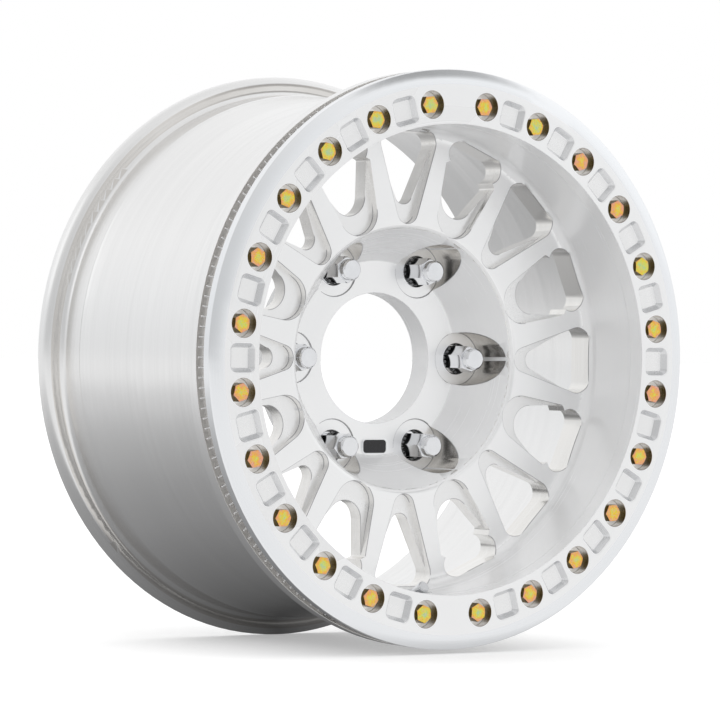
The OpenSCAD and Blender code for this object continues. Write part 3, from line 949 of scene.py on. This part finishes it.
@dataclass
class ClampRing:
    """The bolted ring with its counterbores and rounded square pockets."""

    finishes: Finishes
    edge: float = 0.5 * MM
    bolt_circle: float = 204.0 * MM
    bolts: int = 24
    bolt_reach: float = 12.0 * MM
    inner_radius: float = 188.2 * MM
    bevel_radius: float = 219.6 * MM
    face_depth: float = 0.3 * MM
    back_depth: float = 11.5 * MM

    def build(self) -> Piece:
        """Copies the solid, breaks its edges and finishes each surface.

        Returns:
            The ring's visible piece.
        """
        piece = Bench.copy_of_node("beadlock_ring", "clamp_ring_turned")
        Bench.dress(piece, *self.finishes.listed(RingFinish))
        Bench.break_edges(piece, self.edge)
        for polygon in piece.data.polygons:
            polygon.material_index = self.surface(polygon.center, polygon.normal)
        Bench.smooth(piece)
        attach(piece, WHEEL_BODY)
        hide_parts("beadlock_ring")
        return piece

    def surface(self, centre: Vector, normal: Vector) -> RingFinish:
        """Says which finish a face has.

        Args:
            centre: The face's centre.
            normal: Its outward direction.

        Returns:
            Its finish.
        """
        radius, depth = radius_of(centre), depth_of(centre)
        if radius > self.bevel_radius:
            return RingFinish.POLISHED
        if radius < self.inner_radius:
            return RingFinish.SOFT_FACE
        if depth < self.face_depth or depth > self.back_depth:
            return RingFinish.SPOKE_FACE
        # Faces in a bolt's counterbore get the darker wall, which is painted shade.
        if self.near_bolt(centre):
            return RingFinish.BORE_WALL
        # Pocket floors stay bright, and their walls are painted greyer as shade.
        return RingFinish.POCKET if looks_forward(normal) else RingFinish.POCKET_WALL

    def near_bolt(self, centre: Vector) -> bool:
        """Tells whether a point is nearer to a bolt than to a pocket."""
        pitch = 2 * math.pi / self.bolts
        turns = math.atan2(centre.x, centre.z) / pitch
        offset = (turns - math.floor(turns) - 0.5) * pitch
        return abs(offset) * self.bolt_circle < self.bolt_reach


@dataclass
class BeadSerrations:
    """Low ridges on the flange's face that bite into the tyre's bead."""

    finishes: Finishes
    count: int = 180
    inner_radius: float = 218.2 * MM
    outer_radius: float = 229.0 * MM
    height: float = 0.9 * MM
    width: float = 1.3 * MM
    face_depth: float = 23.5 * MM
    sunk: float = 0.1 * MM
    crest: Tuple[float, float, float] = (0.55, 1.0, 0.94)
    edge: float = 0.12 * MM

    def build(self) -> Piece:
        """Models one ridge, narrows its crest and repeats it around the flange.

        Returns:
            The ring of ridges.
        """
        length = self.outer_radius - self.inner_radius
        middle = (self.outer_radius + self.inner_radius) / 2
        thick = self.height + self.sunk
        y = self.face_depth - HALF_WIDTH + self.sunk - thick / 2
        Bench.clear()
        bpy.ops.mesh.primitive_cube_add(size=1.0, location=(0.0, y, middle))
        bpy.context.active_object.scale = (self.width, thick, length)
        piece = Bench.start_piece("bead_serrations")
        Bench.edit_faces(piece, lambda polygon: looks_forward(polygon.normal))
        bpy.ops.transform.resize(value=self.crest)
        bpy.ops.mesh.select_all(action="SELECT")
        bpy.ops.mesh.bevel(offset=self.edge, segments=1, affect="EDGES")
        bpy.ops.mesh.select_all(action="SELECT")
        bpy.ops.mesh.spin(
            steps=self.count - 1,
            dupli=True,
            angle=2 * math.pi * (self.count - 1) / self.count,
            center=(0.0, 0.0, 0.0),
            axis=(0.0, 1.0, 0.0),
        )
        bpy.ops.mesh.select_all(action="SELECT")
        bpy.ops.mesh.normals_make_consistent(inside=False)
        bpy.ops.object.mode_set(mode="OBJECT")
        Bench.smooth(piece)
        Bench.dress(piece, self.finishes.soft_face)
        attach(piece, WHEEL_BODY)
        return piece


@dataclass
class RingBolts:
    """The zinc-coated bolts that hold the ring down."""

    finishes: Finishes
    count: int = 24
    edge: float = 0.35 * MM

    def build(self) -> List[Piece]:
        """Finishes each bolt.

        Returns:
            The bolts' visible pieces.
        """
        made = []
        for index in range(self.count):
            node = f"ring_bolt_{index + 1:02d}"
            piece = Bench.copy_of_node(node, f"{node}_plated")
            Bench.break_edges(piece, self.edge)
            Bench.smooth(piece)
            Bench.dress(piece, self.finishes.zinc)
            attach(piece, WHEEL_BODY)
            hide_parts(node)
            made.append(piece)
        return made


@dataclass
class LugNuts:
    """The chrome nuts, with their edges rounded by the plating."""

    finishes: Finishes
    count: int = 6
    edge: float = 0.5 * MM

    def build(self) -> List[Piece]:
        """Finishes each nut.

        Returns:
            The nuts' visible pieces.
        """
        made = []
        for index in range(self.count):
            node = f"lug_nut_{index + 1}"
            piece = Bench.copy_of_node(node, f"{node}_plated")
            Bench.break_edges(piece, self.edge)
            Bench.smooth(piece)
            Bench.dress(piece, self.finishes.chrome)
            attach(piece, WHEEL_BODY)
            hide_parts(node)
            made.append(piece)
        return made


@dataclass
class HubBadge:
    """The small bare plate at the bottom of the hub's flat."""

    finishes: Finishes
    rim: float = 0.7 * MM
    slope: float = 0.12 * MM
    sink: float = 0.25 * MM
    flat: float = 0.05 * MM

    def build(self) -> Piece:
        """Insets the plate's front, so that a bright rim stands round it.

        Returns:
            The plate's visible piece.
        """
        piece = Bench.copy_of_node("hub_badge", "hub_badge_plate")
        front = min(v.co.y for v in piece.data.vertices)
        Bench.edit_faces(
            piece,
            lambda polygon: looks_forward(polygon.normal)
            and abs(polygon.center.y - front) < self.flat,
        )
        bpy.ops.mesh.inset(thickness=self.rim, depth=0.0)
        bpy.ops.mesh.inset(thickness=self.slope, depth=-self.sink)
        bpy.ops.object.mode_set(mode="OBJECT")
        Bench.dress(piece, self.finishes.rim_bright, self.finishes.badge_black)
        for polygon in piece.data.polygons:
            sunk = polygon.center.y > front + self.flat and looks_forward(polygon.normal)
            polygon.material_index = 1 if sunk else 0
        Bench.smooth(piece)
        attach(piece, WHEEL_BODY)
        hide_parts("hub_badge")
        return piece


class KeptSolids:
    """Solids whose shape is right as it stands: they only get their finish."""

    def __init__(self, finishes: Finishes) -> None:
        """Notes which finish each solid has.

        Args:
            finishes: The wheel's finishes.
        """
        self.finish_of: Dict[str, bpy.types.Material] = {
            "thread_inserts": finishes.insert_steel,
            "valve_stem": finishes.valve_metal,
            "valve_seal": finishes.rubber,
            "valve_washer": finishes.valve_metal,
            "valve_nut": finishes.valve_metal,
            "valve_core": finishes.brass,
            "valve_spring": finishes.insert_steel,
            "valve_pin": finishes.valve_metal,
            "valve_cap": finishes.valve_metal,
        }

    def build(self) -> List[Piece]:
        """Dresses the solids.

        Returns:
            The dressed nodes.
        """
        made = []
        for node, material in self.finish_of.items():
            solid = frame["nodes"][node]
            Bench.dress(solid, material)
            made.append(solid)
        return made


@dataclass
class Studio:
    """Floor, lamps, white surround and the photograph's camera."""

    lens: float = 221.865
    yaw: float = 0.603253916
    pitch: float = -0.00595351
    roll: float = -0.01306326
    distance: float = 3.53595
    shift_x: float = 0.0768729
    shift_y: float = 0.00017318
    sensor: float = 36.0
    floor_size: float = 60.0
    floor_grey: float = 0.73
    floor_lift: float = 0.34
    shadow_rise: float = 0.16
    shadow_start: float = 0.03
    shadow_end: float = 0.20
    wheel_half: float = 0.13
    room_level: float = 0.95
    # The directions of the camera and of the grey panel, as seen from the wheel
    camera_way: Tuple[float, float] = (-0.567, -0.823)
    panel_way: Tuple[float, float, float] = (0.535, -0.640, 0.552)
    # Where the dimming round each direction starts and is full, and how deep it is
    camera_edge: Tuple[float, float] = (0.26, 0.866)
    camera_dim: float = -0.27
    panel_edge: Tuple[float, float] = (0.966, 0.992)
    panel_dim: float = -0.62
    right_gain: float = 0.07

    def camera(self) -> Piece:
        """Places the camera that was fitted to the photograph.

        Returns:
            The camera.
        """
        cy, sy = math.cos(self.yaw), math.sin(self.yaw)
        cp, sp = math.cos(self.pitch), math.sin(self.pitch)
        cr, sr = math.cos(self.roll), math.sin(self.roll)
        turn = Matrix(((cy, 0, -sy), (0, 1, 0), (sy, 0, cy)))
        nod = Matrix(((1, 0, 0), (0, cp, -sp), (0, sp, cp)))
        tilt = Matrix(((cr, -sr, 0), (sr, cr, 0), (0, 0, 1)))
        view = tilt @ nod @ turn
        place = -(view.transposed() @ Vector((self.shift_x, self.shift_y, self.distance)))
        right, up, ahead = (self.to_frame(view[i]) for i in range(3))
        basis = Matrix((right, up, -ahead)).transposed().to_4x4()
        basis.translation = self.to_frame(place) - Vector((0.0, HALF_WIDTH, 0.0))
        data = bpy.data.cameras.new("studio_camera")
        data.lens = self.lens
        data.sensor_width = self.sensor
        data.clip_start, data.clip_end = 0.1, 100.0
        camera = bpy.data.objects.new("studio_camera", data)
        bpy.context.scene.collection.objects.link(camera)
        camera.matrix_world = basis
        bpy.context.scene.camera = camera
        return camera

    @staticmethod
    def to_frame(local: Vector) -> Vector:
        """Turns right, up and depth into the wheel's X, Y and Z."""
        return Vector((local[0], local[2], local[1]))

    def floor(self) -> Piece:
        """Lays a plain white floor under the rear flange.

        The camera sees it white, apart from the wheel's own shadow, which a glow that is weaker
        near the wheel deepens as painted shadow.  Metal sees a glow with painted shadow: bright
        in front of the wheel, and darker under and behind it, where the wheel would shade it.

        Returns:
            The floor.
        """
        Bench.clear()
        bpy.ops.mesh.primitive_plane_add(size=self.floor_size, location=(0.0, 0.0, FLOOR_Z))
        floor = bpy.context.active_object
        floor.name = "floor"
        material = bpy.data.materials.new("white_floor")
        material.use_nodes = True
        sheet = NodeSheet(material.node_tree)
        matt = sheet.node("ShaderNodeBsdfDiffuse", {"Color": rgba(grey(self.floor_grey))})
        x, y, _ = sheet.axes(sheet.place())
        past = sheet.math("SUBTRACT", sheet.math("ABSOLUTE", y), self.wheel_half)
        away = sheet.length(x, sheet.math("MAXIMUM", past, 0.0))
        # The camera's glow is weaker near the wheel: painted shadow added to the real one.
        top = self.floor_lift + self.shadow_rise
        rise = sheet.spread(away, self.shadow_start, self.shadow_end, self.floor_lift, top)
        strength = sheet.math("MULTIPLY", sheet.light_path("Is Camera Ray"), rise)
        lift = sheet.glow("ShaderNodeEmission", rgba(grey(1.0)), strength)
        both = sheet.node("ShaderNodeAddShader", {0: matt.outputs[0], 1: lift})
        # Metal sees the floor as a glow that darkens near the wheel: painted shadow.
        painted_floor_shadow = sheet.ramp(
            sheet.math("DIVIDE", away, 2.0),
            [
                (0.0, grey(0.05)),
                (0.10, (0.27, 0.27, 0.272)),
                (0.20, (0.41, 0.41, 0.412)),
                (0.40, (0.60, 0.60, 0.603)),
                (1.0, grey(0.86)),
            ],
        )
        front = sheet.spread(y, -0.16, -0.06, 0.0, 1.0)
        mirrored = sheet.glow("ShaderNodeEmission", sheet.blend(front, grey(0.88), painted_floor_shadow), 1.0)
        seen = sheet.choose(sheet.light_path("Is Glossy Ray"), both.outputs[0], mirrored)
        sheet.node("ShaderNodeOutputMaterial", {"Surface": seen})
        floor.data.materials.append(material)
        return floor

    def surround(self) -> bpy.types.World:
        """Makes the white room: white to the camera, softly shaded to metal.

        Metal sees the room brightest half way up, greyer where the camera stands, and one
        grey panel up at the right.

        Returns:
            The world.
        """
        world = bpy.data.worlds.new("white_room")
        bpy.context.scene.world = world
        world.use_nodes = True
        sheet = NodeSheet(world.node_tree)
        direction = sheet.node("ShaderNodeTexCoord", {}).outputs["Generated"]
        x, y, z = sheet.axes(direction)
        height = sheet.ramp(
            sheet.math("MULTIPLY_ADD", z, 0.5, 0.5),
            [
                (0.5, (0.83, 0.835, 0.84)),
                (0.63, (0.90, 0.905, 0.91)),
                (0.75, grey(0.95)),
                (0.854, grey(0.90)),
                (1.0, grey(0.79)),
            ],
        )
        to_camera = sheet.weigh(*zip((x, y), self.camera_way))
        start, full = self.camera_edge
        inputs = {"Value": to_camera, "From Min": start, "From Max": full}
        dip = sheet.node("ShaderNodeMapRange", inputs, interpolation_type="SMOOTHSTEP")
        to_panel = sheet.weigh(*zip((x, y, z), self.panel_way))
        panel = sheet.spread(to_panel, *self.panel_edge, 0.0, self.panel_dim)
        level = sheet.math(
            "ADD",
            sheet.math("MULTIPLY_ADD", x, self.right_gain, 1.0),
            sheet.math("MULTIPLY_ADD", dip.outputs["Result"], self.camera_dim, panel),
        )
        metal = sheet.glow("ShaderNodeBackground", height, level)
        white = rgba(grey(1.0))
        plain = sheet.glow("ShaderNodeBackground", white, self.room_level)
        bright = sheet.glow("ShaderNodeBackground", white, 1.0)
        seen = sheet.choose(sheet.light_path("Is Glossy Ray"), plain, metal)
        seen = sheet.choose(sheet.light_path("Is Transmission Ray"), seen, bright)
        seen = sheet.choose(sheet.light_path("Is Camera Ray"), seen, bright)
        sheet.node("ShaderNodeOutputWorld", {"Surface": seen})
        return world

    def lamp(
        self, name: str, place: Tuple[float, float, float], size: float, power: float
    ) -> Piece:
        """Hangs a soft square lamp that faces the wheel.

        Args:
            name: The lamp's name.
            place: Where it hangs, in metres.
            size: Its side, in metres.
            power: Its power, in watts.

        Returns:
            The lamp.
        """
        data = bpy.data.lights.new(name, "AREA")
        data.shape = "SQUARE"
        data.size = size
        data.energy = power
        lamp = bpy.data.objects.new(name, data)
        bpy.context.scene.collection.objects.link(lamp)
        lamp.location = place
        lamp.rotation_euler = (-Vector(place)).to_track_quat("-Z", "Y").to_euler()
        return lamp

    def build(self) -> None:
        """Sets up the whole studio."""
        scene = bpy.context.scene
        scene.view_settings.view_transform = "Standard"
        self.floor()
        self.surround()
        self.lamp("left_lamp", (-2.7, 0.9, 1.8), 2.0, 2.0)
        self.lamp("right_lamp", (2.6, -1.6, 1.4), 2.0, 0.6)
        self.camera()


def main() -> None:
    """Builds the wheel's looks, piece by piece."""
    logging.basicConfig(level=logging.INFO, format="%(message)s")
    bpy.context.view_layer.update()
    Studio().build()
    finishes = Finishes()
    builders: List[Tuple[str, Callable[[], object]]] = [
        ("wheel body", WheelBody(finishes).build),
        ("clamp ring", ClampRing(finishes).build),
        ("bead serrations", BeadSerrations(finishes).build),
        ("ring bolts", RingBolts(finishes).build),
        ("lug nuts", LugNuts(finishes).build),
        ("hub badge", HubBadge(finishes).build),
        ("kept solids", KeptSolids(finishes).build),
    ]
    for name, build in builders:
        made = build()
        pieces = made if isinstance(made, list) else [made]
        faces = sum(len(p.data.polygons) for p in pieces)
        log.info("%s: %d pieces, %d faces", name, len(pieces), faces)
    Bench.clear()


if __name__ == "__main__":
    main()
